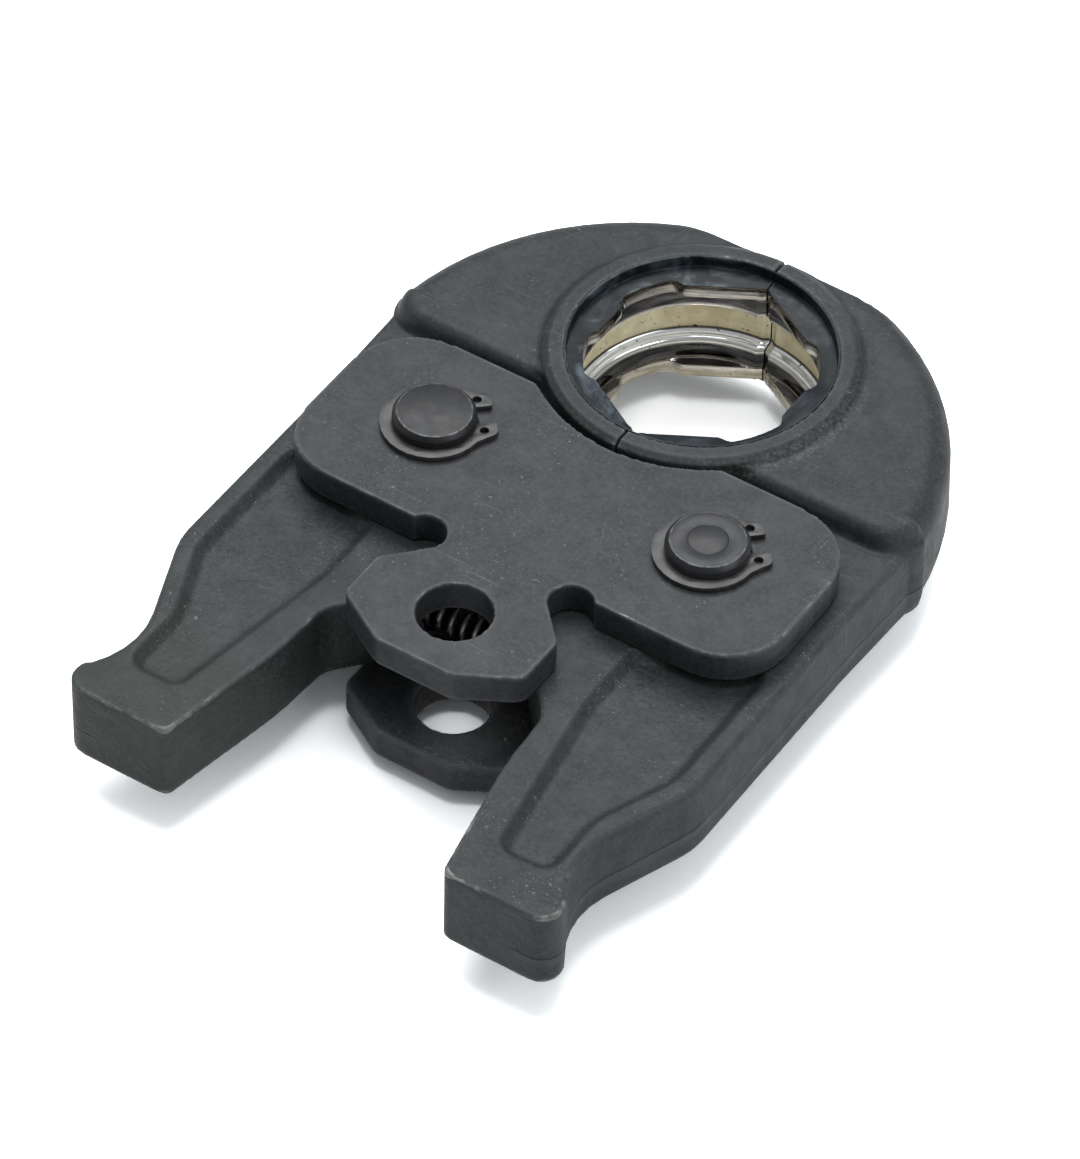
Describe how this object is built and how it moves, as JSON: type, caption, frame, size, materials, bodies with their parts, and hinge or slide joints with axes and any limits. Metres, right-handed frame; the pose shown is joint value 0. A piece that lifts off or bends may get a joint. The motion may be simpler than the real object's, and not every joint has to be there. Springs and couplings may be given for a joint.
{
  "type": "press fitting tool jaw",
  "caption": "Press fitting tool jaw: pivoting forged arms between side plates, with a hexagonal press contour in the head, lobes for the tool bolt and a return spring.",
  "frame": {"origin": "middle of the jaw's bounding box seen from above, at the level of the lower pin ends that it rests on", "axes": "+Y along the jaw from the arms' feet to the nose of the pressing head, +Z along the pivot pins out of the upper side plate, +X towards the right arm"},
  "size_m": [0.1182, 0.1648, 0.0386],
  "materials": {
    "forged_steel": "blackened forging, matte",
    "plate_steel": "blackened, satin",
    "pin_steel": "turned and blued",
    "circlip_steel": "phosphated spring steel",
    "spring_wire": "oiled spring wire"
  },
  "bodies": {
    "side_plates": {"upper_side_plate": "plate_steel", "lower_side_plate": "plate_steel", "left_pivot_pin": "pin_steel", "right_pivot_pin": "pin_steel", "upper_left_circlip": "circlip_steel", "upper_right_circlip": "circlip_steel", "lower_left_circlip": "circlip_steel", "lower_right_circlip": "circlip_steel", "return_spring": "spring_wire"},
    "left_jaw": {"left_arm": "forged_steel"},
    "right_jaw": {"right_arm": "forged_steel"}
  },
  "joints": [
    {"name": "left_jaw_open", "type": "hinge", "parent": "side_plates", "child": "left_jaw", "pos_m": [-0.0302, 0.00525, 0.0193], "axis": [0, 0, 1], "range_deg": [0, 16], "stiffness_Nm_per_rad": 2, "springref_deg": -22.35, "deforming": ["return_spring"]},
    {"name": "right_jaw_open", "type": "hinge", "parent": "side_plates", "child": "right_jaw", "pos_m": [0.0302, 0.00525, 0.0193], "axis": [0, 0, -1], "range_deg": [0, 16], "stiffness_Nm_per_rad": 2, "springref_deg": -22.35, "deforming": ["return_spring"]}
  ]
}
